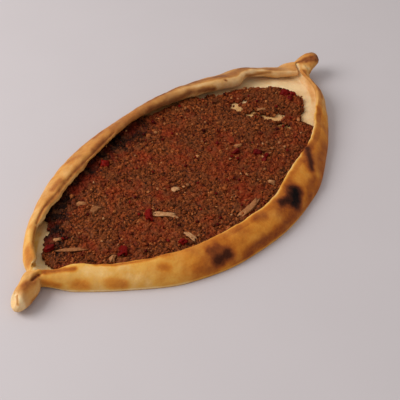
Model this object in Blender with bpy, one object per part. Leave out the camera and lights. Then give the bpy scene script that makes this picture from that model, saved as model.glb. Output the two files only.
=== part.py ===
"""A sfiha: a long boat of thin baked dough, its rim folded up and leaning in over a layer of
minced meat, with both ends pinched shut and twisted into knobs.

+X runs along the boat, -Y is its near side, +Z is up, and the origin is on the underside below
the middle of the bounding box. Lengths in the tables are millimetres.
"""

import functools
import math
import random

import bmesh
import bpy
from mathutils import Matrix, Vector, noise

MM = 0.001
MIDDLE = (-1.4, -0.74)     # of the bounding box, as (x, y) in the tables

# The outline on the table and the rim's lip, both seen from above, as (x, y) from left to right
NEAR_BASE = ((-127, 3.5), (-123, -3), (-116, -12), (-98, -32), (-70, -56.5), (-35, -71),
             (0, -75.5), (36, -71), (72, -55), (92, -42.5), (105, -32.5), (118, -19.5), (123, -9), (129, 1))
NEAR_LIP = ((-127, 7), (-119, 1.5), (-108, -4.5), (-98, -17), (-78, -34), (-50, -49), (-20, -56.5),
            (2, -59), (30, -52.5), (62, -45.5), (78, -39), (90, -31.5), (102, -25), (110, -19), (116, -11.5),
            (120.5, -3), (124.7, 4.6), (129, 5.4))
FAR_LIP = ((-127, 10), (-118, 18), (-104, 34), (-80, 42.5), (-48, 51.5), (-12, 58.5), (16, 61),
           (36, 58.5), (50, 54.5), (62, 48.5), (74, 41.5), (86, 35.5), (95, 34), (102, 30.5), (108, 25.5),
           (114, 18.8), (119.5, 13), (124.5, 7.4), (129, 6.8))
FAR_BASE = ((-127, 15), (-122, 26), (-107, 41.5), (-91, 52), (-70, 63.5), (-40, 72), (-14, 74),
            (20, 71), (50, 66), (77, 58.5), (104, 46.5), (118, 35.5), (125, 27), (129, 15))

# Thicknesses and heights of the dough
NEAR_RIM_HEIGHT = ((-127, 12.5), (-90, 14), (60, 14), (112, 15), (129, 13.5))
FAR_RIM_HEIGHT = ((-127, 13), (-60, 15), (10, 15), (50, 15.8), (75, 16.4), (86, 15.2), (98, 15.8),
                  (106, 13.6), (114, 12), (121, 12.2), (129, 13.2))
FLOOR_THICKNESS = 4.0
NEAR_LIP_THICKNESS = ((-127, 1.8), (90, 1.8), (108, 3), (129, 3))
FAR_LIP_THICKNESS = ((-127, 1.8), (-40, 1.8), (0, 3), (30, 6.5), (55, 9), (86, 8.5), (97, 6.5),
                     (118, 5.5), (129, 4))
LIP_ROUNDING = 0.45     # how far the lip's edge stands out between its corners, as a share of its thickness
SHOULDER_DROP = 1.5     # of the outer face at half its lean, below the lip
BULGE = 0.6             # of the outer face, out over its foot
UNDERCUT = 1.2          # of the outer face's foot, in from the outline
FULL_LEAN = 15.0        # the lean of a rim that lies well over the filling
INNER_CORNER = 0.5      # from the outline and up from the floor, where the inner face turns
WALL_FOOT = 12.0        # from the outline to where the wall's inner curve meets the floor
FOOT_SHARE = 0.42       # of the boat's width that one wall's foot may take near the ends
WOBBLE = 0.35           # unevenness of the baked surface
WOBBLE_SIZE = 17.0
LEVEL_UP_TO = 0.3       # height below which the underside stays level

# The knobs: centre x, y, z, then half width and half height, from the neck outwards
LEFT_KNOB = ((-127, 9.2, 6.8, 5.8, 6.6), (-132, 6.8, 6.9, 6.6, 6.4), (-138, 4.8, 6.9, 7.0, 6.5),
             (-142.5, 4.1, 7.3, 6.5, 6.3), (-145, 4.0, 7.7, 5.2, 5.0))
RIGHT_KNOB = ((129, 8.0, 8.8, 7.2, 7.0), (132, 8.1, 10.7, 7.2, 5.9), (136.5, 8.0, 12.0, 7.6, 5.5),
              (140.5, 7.6, 12.7, 7.2, 5.4), (143.5, 7.4, 13.1, 5.4, 4.2))
LEFT_CAP_FACING = (-0.85, 0.33, 0.42)
RIGHT_CAP_FACING = (0.93, 0.05, 0.36)
CAP_DIMPLE = 1.2
NEAR_SIDE_ARC = (112, 232)      # degrees round a knob from +Y over the top, where the near outer face goes
FAR_SIDE_ARC = (308, 428)
TWIST_DEPTH = 0.10      # share of the radius
TWIST_TURN = math.radians(170)
LEFT_NECK_LENGTH, RIGHT_NECK_LENGTH = 11.0, 6.5    # over which the hollow rises and closes

# How finely the boat is divided
BODY_COLUMNS = 46
KNOB_COLUMNS = 7
OUTER_STEPS = 6
INNER_STEPS = 5
FLOOR_STEPS = 5
UNDERSIDE_STEPS = 4
END_CROWDING = 0.5

# The minced meat
GAP = 0.3
MINCE_BOTTOM = FLOOR_THICKNESS + GAP
MINCE_THICKNESS = 3.0
MINCE_PITCH = 2.5
MINCE_CELLS = (92, 52)  # along and across, before the cells off the mince are taken out
CRUMB_HEIGHT = 1.2      # of the bumps, up or down
CRUMB_SHIFT = 0.6
FLAT_ANGLE = 0.001      # radians, under which the underside's cells are merged
MINCE_TOP = MINCE_BOTTOM + MINCE_THICKNESS + CRUMB_HEIGHT
# Its edge where it stops short of the walls, as (x, y): on the left, then on the right
MINCE_LEFT_NEAR = ((-115.1, 5), (-110, -1), (-106, -8))
MINCE_LEFT_FAR = ((-115.1, 15), (-111, 21.5), (-103, 28.5), (-97, 36))
MINCE_NEAR_END = ((83.5, -38), (84.5, -28), (87.5, -23.6), (94, -20.7), (99, -17), (105.4, -10.5),
                  (107.4, -6.5), (108.3, -4))
MINCE_FAR_END = ((50, 53), (60.4, 46.4), (72, 39.2), (85.8, 31), (91, 28), (96, 20.5), (101, 16.5),
                 (104.7, 12.3), (106.6, 6), (108.3, -4))
# Places where the dough shows through: centre x, y, half length, half width, direction in degrees
BARE_PATCHES = ((69.5, 17.5, 6.5, 4.5, -50), (79.5, 6, 4.5, 3, 0), (69, 8, 6, 2.5, -25), (76, -6, 9, 4, -68))
# Bits as long as a grain of rice or longer: x, y, length, width, direction in degrees
PEPPER_BITS = ((-34, 46, 7, 5, 20), (-50, -7, 8, 4, 45), (-107, 19.5, 6, 5, 0), (-81, -15, 7, 5, 40),
               (-53, -37, 5, 4, 10), (102, 5, 7, 5, -30), (102, -1, 6, 4, 60), (38, -22, 6, 4, -50),
               (37, -29, 6, 3, 20), (30, -11, 5, 3, 0))
ONION_BITS = ((-42.5, -14.5, 14, 3.5, -53), (-46.5, -37, 9, 3.5, 77), (-6, -49.5, 17, 3.5, 3),
              (-22, -4, 5, 4, 0), (-99, 21.5, 5, 3.5, 0), (-99, 8, 14, 2.5, -50), (-88, -14, 5, 3, 20),
              (-69, 31, 6, 2.5, -50), (-68, 21, 6, 3, 10), (35, -8, 5, 3, -30), (21, -46, 5, 3, -70))
BIT_RISE = 0.6          # of a bit's middle above the mince around it
BIT_HALF_HEIGHT = 1.6
BIT_SIDES = 7
BIT_BANDS = 4
SEED = 7

CRUST_COLOUR = (0.73, 0.45, 0.17)
CRUST_ROUGHNESS = 0.62
MINCE_COLOUR = (0.24, 0.085, 0.04)
MINCE_ROUGHNESS = 0.7


def curve(points, x):
    """The smooth curve through the points, read at x."""
    last = len(points) - 1
    i = 0
    while i < last - 1 and x > points[i + 1][0]:
        i += 1
    (x0, y0), (x1, y1) = points[i], points[i + 1]
    slope0 = slope_at(points, i)
    slope1 = slope_at(points, i + 1)
    step = x1 - x0
    t = min(max((x - x0) / step, 0.0), 1.0)
    rise = 3 * t * t - 2 * t * t * t
    return (y0 + (y1 - y0) * rise + slope0 * step * t * (1 - t) ** 2
            - slope1 * step * t * t * (1 - t))


def slope_at(points, i):
    """The mean of the slopes before and after point i, the flatter one counting more."""
    last = len(points) - 1
    before = slope_between(points[max(i - 1, 0)], points[max(i, 1)])
    after = slope_between(points[min(i, last - 1)], points[min(i + 1, last)])
    if before * after <= 0:
        return 0.0
    return 2 * before * after / (before + after)


def slope_between(a, b):
    return (b[1] - a[1]) / (b[0] - a[0])


def smooth(t):
    t = min(max(t, 0.0), 1.0)
    return t * t * (3 - 2 * t)


def blend(a, b, share):
    return tuple(p + (q - p) * share for p, q in zip(a, b))


def bezier(p0, p1, p2, p3, steps):
    """The points of a cubic curve from p0 to p3, both included."""
    made = []
    for i in range(steps + 1):
        t = i / steps
        s = 1 - t
        weights = (s * s * s, 3 * s * s * t, 3 * s * t * t, t * t * t)
        made.append(tuple(sum(w * p[k] for w, p in zip(weights, (p0, p1, p2, p3))) for k in (0, 1)))
    return made


def wall(base, lip, height, foot, thickness):
    """One side's wall in cross-section, as if the boat lay at larger y than base: its outer face
    from the lip down to the table, the lip's rounded edge, and its inner face down to the floor."""
    lean = lip - base
    top = (lip, height)
    shoulder = (lip - lean / 2, height - SHOULDER_DROP)
    outer = bezier(top, shoulder, (base - BULGE, height / 2), (base + UNDERCUT, 0.0), OUTER_STEPS)
    along = Vector((top[0] - shoulder[0], top[1] - shoulder[1])).normalized()
    inward = Vector((along.y, -along.x))
    edge = Vector(top) + thickness * (inward / 2 + LIP_ROUNDING * along)
    start = Vector(top) + thickness * inward
    under = start - (LIP_ROUNDING * lean + SHOULDER_DROP) * along
    upright = max(0.0, 1 - lean / FULL_LEAN)
    corner = (base + INNER_CORNER + 3 * upright, FLOOR_THICKNESS + INNER_CORNER)
    inner = bezier(tuple(start), tuple(under), corner, (base + foot, FLOOR_THICKNESS), INNER_STEPS)
    return outer, tuple(edge), inner


def walls(x):
    """The near wall at x and the far one, the far one mirrored to look like a near one."""
    near_base, far_base = curve(NEAR_BASE, x), curve(FAR_BASE, x)
    foot = min(WALL_FOOT, FOOT_SHARE * (far_base - near_base))
    near = wall(near_base, curve(NEAR_LIP, x), curve(NEAR_RIM_HEIGHT, x), foot,
                curve(NEAR_LIP_THICKNESS, x))
    far = wall(-far_base, -curve(FAR_LIP, x), curve(FAR_RIM_HEIGHT, x), foot,
               curve(FAR_LIP_THICKNESS, x))
    return near, far


def body_section(x):
    """The boat's cross-section at x, a closed loop of (y, z), from the near lip down and round."""
    near, far = walls(x)
    far = ([(-y, z) for y, z in far[0]], (-far[1][0], far[1][1]), [(-y, z) for y, z in far[2]])
    underside = between(near[0][-1], far[0][-1], UNDERSIDE_STEPS)
    floor = between(far[2][-1], near[2][-1], FLOOR_STEPS)
    return (near[0] + underside + far[0][::-1] + [far[1]] + far[2] + floor + near[2][::-1] + [near[1]])


def between(a, b, steps):
    """The points that divide the way from a to b, without the ends."""
    return [blend(a, b, i / steps) for i in range(1, steps)]


def round_angles():
    """Where each point of a cross-section goes on a round one, as angles from +Y over the top."""
    outer = OUTER_STEPS + 1
    inner = 2 * (INNER_STEPS + 1) + FLOOR_STEPS - 1
    (side_start, side_end), (far_start, far_end) = NEAR_SIDE_ARC, FAR_SIDE_ARC
    arcs = ((side_start, side_end, outer), (side_end, far_start, UNDERSIDE_STEPS - 1),
            (far_start, far_end, outer), (far_end, side_start + 360, inner + 2))
    angles = []
    for start, end, count in arcs:
        ends_too = count == outer
        for i in range(count):
            share = i / (count - 1) if ends_too else (i + 1) / (count + 1)
            angles.append(math.radians(start + (end - start) * share))
    return angles


def ring_round(centre, facing, half_width, half_height, turn):
    """A twisted knob's cross-section: two shallow strands side by side, turned by turn."""
    ahead = Vector(facing).normalized()
    side = Vector((0, 0, 1)).cross(ahead).normalized()
    up = ahead.cross(side)
    ring = []
    for angle in round_angles():
        swell = 1 + TWIST_DEPTH * math.cos(2 * angle + turn) * smooth(abs(turn) * 2)
        across = half_width * swell * math.cos(angle)
        ring.append(Vector(centre) + side * across + up * half_height * swell * math.sin(angle))
    return ring


def ring_body(x):
    """One ring of the boat, closing up towards a round section where a neck begins."""
    section = [Vector((x, y, z)) for y, z in body_section(x)]
    near_base, far_base = curve(NEAR_BASE, x), curve(FAR_BASE, x)
    open_left = (x - NEAR_BASE[0][0]) / LEFT_NECK_LENGTH
    open_right = (NEAR_BASE[-1][0] - x) / RIGHT_NECK_LENGTH
    closed = smooth(1 - min(open_left, open_right))
    if closed == 0:
        return section
    knob = LEFT_KNOB if x < 0 else RIGHT_KNOB
    middle = (x, (near_base + far_base) / 2, knob[0][2])
    neck = ring_round(middle, (1, 0, 0), (far_base - near_base) / 2, knob[0][4], 0.0)
    return [a.lerp(b, closed) for a, b in zip(section, neck)]


def knob_rings(stations, cap_facing, hand):
    """The rings of a knob from its neck to its tip, each facing the way the knob runs."""
    ahead = Vector(cap_facing) * (1 if stations[-1][0] > 0 else -1)
    rings = []
    for i in range(1, KNOB_COLUMNS + 1):
        share = i / KNOB_COLUMNS
        x = stations[0][0] + (stations[-1][0] - stations[0][0]) * share
        values = [curve(sorted((s[0], s[k]) for s in stations), x) for k in range(1, 5)]
        facing = Vector((1, 0, 0)).lerp(ahead, smooth(share))
        rings.append(ring_round((x, *values[:2]), facing, *values[2:], hand * share * TWIST_TURN))
    return rings


def cap(ring, facing):
    """The dimpled end of a knob: a smaller ring, then one point pushed into it."""
    centre = sum(ring, Vector()) / len(ring)
    outwards = Vector(facing).normalized()
    inner = [centre.lerp(p, 0.5) - outwards * 0.3 * CAP_DIMPLE for p in ring]
    return inner, centre - outwards * CAP_DIMPLE


def unevenness(point):
    """How far the baked surface stands out here. The underside and the floor stay level."""
    on_floor = point.z < FLOOR_THICKNESS + LEVEL_UP_TO and NEAR_BASE[0][0] < point.x < NEAR_BASE[-1][0]
    if point.z < LEVEL_UP_TO or on_floor:
        return 0.0
    return WOBBLE * noise.noise(point / WOBBLE_SIZE) * smooth(point.z / FLOOR_THICKNESS)


def column_places():
    """Where the boat is cut into columns: closer together towards the ends."""
    start, end = NEAR_BASE[0][0], NEAR_BASE[-1][0]
    places = []
    for i in range(BODY_COLUMNS + 1):
        t = i / BODY_COLUMNS
        places.append(start + (end - start) * (t - END_CROWDING * math.sin(2 * math.pi * t) / (2 * math.pi)))
    return places


def make_crust():
    rings = knob_rings(LEFT_KNOB, LEFT_CAP_FACING, -1)[::-1]
    rings += [ring_body(x) for x in column_places()]
    rings += knob_rings(RIGHT_KNOB, RIGHT_CAP_FACING, 1)
    left_cap, left_end = cap(rings[0], LEFT_CAP_FACING)
    right_cap, right_end = cap(rings[-1], RIGHT_CAP_FACING)
    rings = [left_cap, *rings, right_cap]

    mesh = bmesh.new()
    rows = [[mesh.verts.new(p) for p in ring] for ring in rings]
    count = len(rows[0])
    for row, following in zip(rows, rows[1:]):
        for i in range(count):
            j = (i + 1) % count
            mesh.faces.new((row[i], row[j], following[j], following[i]))
    for row, end in ((rows[0], left_end), (rows[-1], right_end)):
        tip = mesh.verts.new(end)
        for i in range(count):
            mesh.faces.new((row[i], row[(i + 1) % count], tip))
    bmesh.ops.recalc_face_normals(mesh, faces=mesh.faces)
    mesh.normal_update()
    for vert, offset in [(v, unevenness(v.co)) for v in mesh.verts]:
        vert.co += vert.normal * offset
    crust = finish(mesh, "dough_crust", CRUST_COLOUR, CRUST_ROUGHNESS)
    crust.data.shade_smooth()


def clear_of(wall_points):
    """How near the mince may come to a wall: clear of its inner face at the height of the mince."""
    edge, inner = wall_points[1:]
    reach = max((y for y, z in (edge, *inner) if MINCE_BOTTOM < z <= MINCE_TOP + WOBBLE), default=-math.inf)
    for (y0, z0), (y1, z1) in zip(inner, inner[1:]):
        if z1 <= MINCE_BOTTOM:
            reach = max(reach, y0 + (y1 - y0) * (z0 - MINCE_BOTTOM) / (z0 - z1))
            break
    return reach + GAP + WOBBLE + CRUMB_SHIFT


@functools.lru_cache(maxsize=None)
def mince_edges(x):
    """The mince's near and far edge at x, as y."""
    near_wall, far_wall = walls(x)
    near, far = clear_of(near_wall), -clear_of(far_wall)
    for points in (MINCE_LEFT_NEAR, MINCE_NEAR_END):
        if points[0][0] <= x <= points[-1][0]:
            near = max(near, curve(points, x))
    for points in (MINCE_LEFT_FAR, MINCE_FAR_END):
        if points[0][0] <= x <= points[-1][0]:
            far = min(far, curve(points, x))
    return near, far


def in_patch(x, y, patch):
    """Whether a place is on a patch of bare dough."""
    angle = math.radians(patch[4])
    dx, dy = x - patch[0], y - patch[1]
    along = dx * math.cos(angle) + dy * math.sin(angle)
    across = dy * math.cos(angle) - dx * math.sin(angle)
    return (along / patch[2]) ** 2 + (across / patch[3]) ** 2 < 1


def has_mince(face):
    """Whether a cell of the sheet lies all on the mince."""
    for vert in face.verts:
        x, y = round(vert.co.x, 3), vert.co.y
        if not MINCE_LEFT_NEAR[0][0] <= x <= MINCE_FAR_END[-1][0]:
            return False
        near, far = mince_edges(x)
        if not near < y < far:
            return False
    middle = face.calc_center_median()
    return not any(in_patch(middle.x, middle.y, patch) for patch in BARE_PATCHES)


def drop_corner_contacts(mesh):
    """Removes a cell that meets the rest at one corner only, until there is none."""
    while True:
        for vert in mesh.verts:
            if len(vert.link_faces) == 2 and len(vert.link_edges) == 4:
                bmesh.ops.delete(mesh, geom=[vert.link_faces[0]], context="FACES")
                break
        else:
            return


def lay_mince():
    """The mince: a sheet of cells on a flat underside, each corner raised or sunk by about a crumb."""
    mesh = bmesh.new()
    bmesh.ops.create_grid(mesh, x_segments=MINCE_CELLS[0], y_segments=MINCE_CELLS[1], size=0.5)
    for vert in mesh.verts:
        vert.co.x *= MINCE_CELLS[0] * MINCE_PITCH
        vert.co.y *= MINCE_CELLS[1] * MINCE_PITCH
    outside = [f for f in mesh.faces if not has_mince(f)]
    bmesh.ops.delete(mesh, geom=outside, context="FACES")
    drop_corner_contacts(mesh)

    chance = random.Random(SEED)
    underside = list(mesh.edges)
    sheet = bmesh.ops.extrude_face_region(mesh, geom=list(mesh.faces), use_keep_orig=True)
    for vert in mesh.verts:
        vert.co.z = MINCE_BOTTOM
    for vert in (g for g in sheet["geom"] if isinstance(g, bmesh.types.BMVert)):
        vert.co.z += MINCE_THICKNESS + CRUMB_HEIGHT * chance.uniform(-1, 1)
        vert.co.x += CRUMB_SHIFT * chance.uniform(-1, 1)
        vert.co.y += CRUMB_SHIFT * chance.uniform(-1, 1)
    return mesh, underside


def make_bits():
    """The pieces of pepper and onion that stand out of the mince, as flattened balls in a collection."""
    bits = bpy.data.collections.new("bits")
    bpy.context.scene.collection.children.link(bits)
    height = MINCE_BOTTOM + MINCE_THICKNESS + BIT_RISE
    for x, y, length, width, direction in (*PEPPER_BITS, *ONION_BITS):
        mesh = bmesh.new()
        bmesh.ops.create_uvsphere(mesh, u_segments=BIT_SIDES, v_segments=BIT_BANDS, radius=0.5)
        bmesh.ops.scale(mesh, vec=(length, width, 2 * BIT_HALF_HEIGHT), verts=mesh.verts)
        turn = Matrix.Rotation(math.radians(direction), 4, "Z")
        bmesh.ops.transform(mesh, matrix=Matrix.Translation((x, y, height)) @ turn, verts=mesh.verts)
        place(mesh, "bit", bits)
    return bits


def fuse(body, extras):
    """Joins a collection's objects to the body and removes them."""
    union = body.modifiers.new("fuse", "BOOLEAN")
    union.operand_type = "COLLECTION"
    union.collection = extras
    union.operation = "UNION"
    union.solver = "MANIFOLD"
    graph = bpy.context.evaluated_depsgraph_get()
    fused = bpy.data.meshes.new_from_object(body.evaluated_get(graph))
    body.modifiers.remove(union)
    body.data = fused
    for extra in list(extras.objects):
        bpy.data.objects.remove(extra)
    bpy.data.collections.remove(extras)


def make_mince():
    sheet, underside = lay_mince()
    bmesh.ops.recalc_face_normals(sheet, faces=sheet.faces)
    bmesh.ops.dissolve_limit(sheet, angle_limit=FLAT_ANGLE, verts=sheet.verts, edges=underside)
    bmesh.ops.triangulate(sheet, faces=sheet.faces, quad_method="ALTERNATE")
    mince = finish(sheet, "mince_filling", MINCE_COLOUR, MINCE_ROUGHNESS)
    fuse(mince, make_bits())


def material(name, colour, roughness):
    made = bpy.data.materials.new(name)
    made.use_nodes = True
    shader = made.node_tree.nodes["Principled BSDF"]
    shader.inputs["Base Color"].default_value = (*colour, 1)
    shader.inputs["Roughness"].default_value = roughness
    made.diffuse_color = (*colour, 1)
    return made


def place(mesh, name, collection):
    """Turns the mesh, worked out in millimetres, into a named object in metres, moved to the middle."""
    for vert in mesh.verts:
        vert.co = (vert.co - Vector((*MIDDLE, 0))) * MM
    data = bpy.data.meshes.new(name)
    mesh.to_mesh(data)
    mesh.free()
    made = bpy.data.objects.new(name, data)
    collection.objects.link(made)
    return made


def finish(mesh, name, colour, roughness):
    """Places a sub-part in the object's collection, with its own material."""
    made = place(mesh, name, bpy.data.collections["sfiha"])
    made.data.materials.append(material(name, colour, roughness))
    return made


def main():
    for old in list(bpy.data.objects):
        bpy.data.objects.remove(old)
    parts = bpy.data.collections.new("sfiha")
    bpy.context.scene.collection.children.link(parts)
    make_crust()
    make_mince()


main()
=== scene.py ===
"""The looks of a sfiha: a boat of baked dough over a layer of minced meat with pepper and onion.

Lengths in the tables are millimetres and lie as in the part's source. MIDDLE moves them to the
frame. A layer of noise is its strength, the size of its lumps and its seed.
"""

import math

import bmesh
import bpy
import numpy as np
from mathutils import Matrix, Vector, noise


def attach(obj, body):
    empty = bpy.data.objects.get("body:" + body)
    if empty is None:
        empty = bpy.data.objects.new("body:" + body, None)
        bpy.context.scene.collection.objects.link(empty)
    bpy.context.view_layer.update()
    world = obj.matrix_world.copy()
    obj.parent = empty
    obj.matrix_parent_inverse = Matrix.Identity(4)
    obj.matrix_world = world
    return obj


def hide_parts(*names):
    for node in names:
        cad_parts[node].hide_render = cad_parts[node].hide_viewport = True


MM = 0.001
MIDDLE = (-1.4, -0.74)

# The outline on the table and the rim's lip, both seen from above, as (x, y) from left to right
NEAR_BASE = (
    (-127, 3.5), (-123, -3), (-116, -12), (-98, -32), (-70, -56.5), (-35, -71), (0, -75.5),
    (36, -71), (72, -55), (92, -42.5), (105, -32.5), (118, -19.5), (123, -9), (129, 1))
NEAR_LIP = (
    (-127, 7), (-119, 1.5), (-108, -4.5), (-98, -17), (-78, -34), (-50, -49), (-20, -56.5),
    (2, -59), (30, -52.5), (62, -45.5), (78, -39), (90, -31.5), (102, -25), (110, -19),
    (116, -11.5), (120.5, -3), (124.7, 4.6), (129, 5.4))
FAR_LIP = (
    (-127, 10), (-118, 18), (-104, 34), (-80, 42.5), (-48, 51.5), (-12, 58.5), (16, 61), (36, 58.5),
    (50, 54.5), (62, 48.5), (74, 41.5), (86, 35.5), (95, 34), (102, 30.5), (108, 25.5), (114, 18.8),
    (119.5, 13), (124.5, 7.4), (129, 6.8))
FAR_BASE = (
    (-127, 15), (-122, 26), (-107, 41.5), (-91, 52), (-70, 63.5), (-40, 72), (-14, 74), (20, 71),
    (50, 66), (77, 58.5), (104, 46.5), (118, 35.5), (125, 27), (129, 15))
NEAR_RIM_HEIGHT = ((-127, 12.5), (-90, 14), (60, 14), (112, 15), (129, 13.5))
FAR_RIM_HEIGHT = (
    (-127, 13), (-60, 15), (10, 15), (50, 15.8), (75, 16.4), (86, 15.2), (98, 15.8), (106, 13.6),
    (114, 12), (121, 12.2), (129, 13.2))
# How far the lip hangs below the ridge behind it, and how far behind it the ridge lies
NEAR_DROOP = ((-127, 0), (-112, 1.0), (-60, 1.2), (-10, 0.7), (20, 0.2), (129, 0.2))
FAR_DROOP = ((-127, 0.5), (-112, 2.0), (-60, 2.4), (-30, 1.8), (10, 0.8), (40, 0.2), (129, 0.2))
DROOP_REACH = 5.0
DROOP_LIMIT = 1.3           # of that reach, for places outside the lip
DROOP_HEIGHTS = (2.0, 6.0)  # above the floor, where it starts and where it is full
FLOOR_THICKNESS = 4.0
NEAR_LIP_THICKNESS = ((-127, 1.8), (90, 1.8), (108, 3), (129, 3))
FAR_LIP_THICKNESS = (
    (-127, 1.8), (-40, 1.8), (0, 3), (30, 6.5), (55, 9), (86, 8.5), (97, 6.5), (118, 5.5), (129, 4))
LIP_ROUNDING = 0.45
SHOULDER_DROP = 1.5
BULGE = 0.6
UNDERCUT = 1.2
FULL_LEAN = 15.0
INNER_CORNER = 0.5
UPRIGHT_CORNER = 3.0        # how much further in the inner corner is under an upright wall
WALL_FOOT = 12.0
FOOT_SHARE = 0.42
# Small waves in the lips: broad and fine ones, near and far, and their lengths
LIP_WAVES = ((0.6, 0.35), (1.2, 0.6))
LIP_WAVE_LENGTHS = (9.0, 3.2)

# The knobs: centre x, y, z, then half width and half height, from the neck outwards
LEFT_KNOB = (
    (-127, 9.2, 6.8, 5.8, 6.6), (-132, 6.8, 6.9, 6.6, 6.4), (-138, 4.8, 6.9, 7.0, 6.5),
    (-142.5, 4.1, 7.3, 6.5, 6.3), (-145, 4.0, 7.7, 5.2, 5.0))
RIGHT_KNOB = (
    (129, 8.0, 8.8, 7.2, 7.0), (132, 8.1, 10.7, 7.2, 5.9), (136.5, 8.0, 12.0, 7.6, 5.5),
    (140.5, 7.6, 12.7, 7.2, 5.4), (143.5, 7.4, 13.1, 5.4, 4.2))
LEFT_CAP_FACING = (-0.85, 0.33, 0.42)
RIGHT_CAP_FACING = (0.93, 0.05, 0.36)
# Their ends: how high the edge is, how deep the bowl and its middle are, and the roll in it
CAP_EDGE, CAP_BOWL, CAP_MIDDLE = 0.5, 1.44, 0.96
CAP_ROLL, CAP_ROLL_TURNS = 0.7, 7.5
# The angles of the outer faces on a round section, and the knobs' twist
NEAR_SIDE_ARC = (112, 232)
FAR_SIDE_ARC = (308, 428)
TWIST_DEPTH = 0.10
TWIST_TURN = math.radians(170)
LEFT_NECK_LENGTH, RIGHT_NECK_LENGTH = 11.0, 6.5

# How finely the crust is divided
BODY_COLUMNS = 340
KNOB_COLUMNS = 30
CAP_RINGS = 9
OUTER_STEPS = 26
EDGE_STEPS = 8
INNER_STEPS = 20
FLOOR_STEPS = 26
UNDERSIDE_STEPS = 14
END_CROWDING = 0.45

# The minced meat
GAP = 0.3                   # between it and the dough
MINCE_BOTTOM = FLOOR_THICKNESS + GAP
MINCE_LEFT_NEAR = ((-115.1, 2), (-112, -3), (-109, -8))
MINCE_LEFT_FAR = (
    (-115.1, 15.5), (-111, 22), (-105, 27.5), (-99.5, 31), (-96, 33.2), (-92.5, 35.5), (-90.5, 40))
MINCE_NEAR_END = (
    (83.5, -38), (84.5, -28), (87.5, -23.6), (94, -20.7), (99, -17), (105.4, -10.5), (107.4, -6.5),
    (108.3, -4))
MINCE_FAR_END = (
    (50, 53), (60.4, 46.4), (72, 39.2), (85.8, 31), (91, 28), (96, 20.5), (101, 16.5),
    (104.7, 12.3), (106.6, 6), (108.3, -4))
# Patches of bare dough: centre x and y, half length, half width, direction
BARE_PATCHES = (
    (68, 20, 6, 3.9, 53), (75.5, 19.7, 5, 2.3, -12), (69.8, 7.2, 6.6, 2.7, -7),
    (73.3, -3.4, 5.4, 2.8, -59), (78, -9.4, 6, 4.1, -20), (72.3, -15.6, 2.8, 2.3, 0),
    (74.1, -20.5, 4.2, 2.3, -90))
# The larger bits: x and y, length, width, direction
PEPPER_BITS = (
    (-34, 46, 7, 5, 20), (-50, -7, 8, 4, 45), (-107, 19.5, 6, 5, 0), (-81, -15, 7, 5, 40),
    (-53, -37, 5, 4, 10), (101.5, 2, 7, 5, -30), (104.2, -2.5, 6, 4, 60), (99, -4, 5, 3.5, 20),
    (38, -22, 6, 4, -50), (37, -29, 6, 3, 20), (30, -11, 5, 3, 0))
ONION_BITS = (
    (-42.5, -14.5, 14, 3.5, -53), (-46.5, -37, 9, 3.5, 77), (-6, -49.5, 17, 3.5, 3),
    (-22, -4, 5, 4, 0), (-99, 20.5, 4.5, 2.2, -30), (-99, 8, 14, 1.8, -50), (-88, -14, 5, 3, 20),
    (-69, 31, 6, 2.5, -50), (-68, 21, 6, 3, 10), (35, -8, 5, 3, -30), (21, -46, 5, 3, -70),
    (76.7, 4, 5.5, 2.6, -35))
CORE_CELLS = (380, 200)     # along and across
CRUMB_FIELD = 290.0
CRUMB_GAP = 0.45            # between packed crumbs, as a share of the pitch
# A crumb's share of the tone falls to nothing at its edge: painted shade in the gaps between crumbs
# Layers of packed crumbs: pitch, height, share of the tone, direction of their rows, seed
CRUMB_LAYERS = ((4.8, 1, 0.14, 37, 33), (2.3, 0.8, 0.3, 68, 31), (1.2, 0.5, 0.42, 14, 32))
BEND_NOISE = ((0.7, 2.4, 21), (0.7, 2.4, 22))   # along x and along y
OUTLINE_STEPS, LEFT_EDGE_STEPS = 460, 12
TIP_WIDTH = 0.8             # where the near and the far edge would meet or cross
CORE_THICKNESS = 2.5
EDGE_THICKNESS = 1.5        # at a free edge, where the mince thins out
LEAST_THICKNESS = 0.3
EDGE_SLOPE = 3.0
TOP_NOISE = ((0.5, 14, 12), (0.35, 6, 13))
MINCE_TOP = 9.0
WALL_CLEARANCE = 0.8
FREE_EDGE_NOISE, FREE_EDGE_WAVE = 1.2, 4.0
# The notches between the clumps at a free edge: how deep, and their shape
FREE_EDGE_LOBES, LOBE_LEVEL = 1.5, 0.6
LOBE_NOISE = ((1.5, 5.6, 18), (0.5, 2.2, 24))
PATCH_NOISE = ((0.55, 3.4, 11), (0.5, 1.6, 17))
PATCH_SCALE = 5.0           # millimetres from a patch's middle to its edge, about
# The far rim's painted shadow on the mince: how far in from the rim it reaches, and how dark it is
RIM_SHADOW_BAND, RIM_SHADOW_TONE = 25.0, 0.74
STRAY_SHARE = 0.32          # of the usual crumbs, on a patch of bare dough
STRAY_HEIGHT = 0.4          # of its size, from the floor to a stray crumb's middle
# Loose crumbs: name, pitch, sizes
CRUMBS = (("crumbs_fine", 3.1, (0.8, 1.7)), ("crumbs_coarse", 4.6, (1.6, 3.0)))
CRUMB_SIZE_POWER = 1.6      # above 1, most crumbs are small
CRUMB_RISE = (-0.25, 0.22)  # of its size, from the core's top to a crumb's middle
CRUMB_TONE, CRUMB_TONE_SPREAD, LEAST_TONE = 0.46, 0.14, 0.02
CLUMP_NOISE = ((0.3, 5, 23),)
SPECK_PITCH, SPECK_RISE, SPECK_TONES = 5.0, 0.35, (0.0, 0.6)
# Small bits: name, share of the places, sizes, material
SPECKS = (
    ("pepper_flecks", 0.17, (1.0, 2.4), "red_pepper"),
    ("onion_flecks", 0.07, (1.0, 2.6), "pale_onion"),
    ("spice_specks", 0.45, (0.5, 1.1), "dark_spice"))
LUMP_ROUGHNESS = 0.8
LUMP_DETAIL = 1.3
LUMP_STRETCH = (0.55, 1.3)
LUMP_FLATNESS = 0.75
LUMP_DEPTH = 0.05           # below the core's bottom, at most
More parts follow.
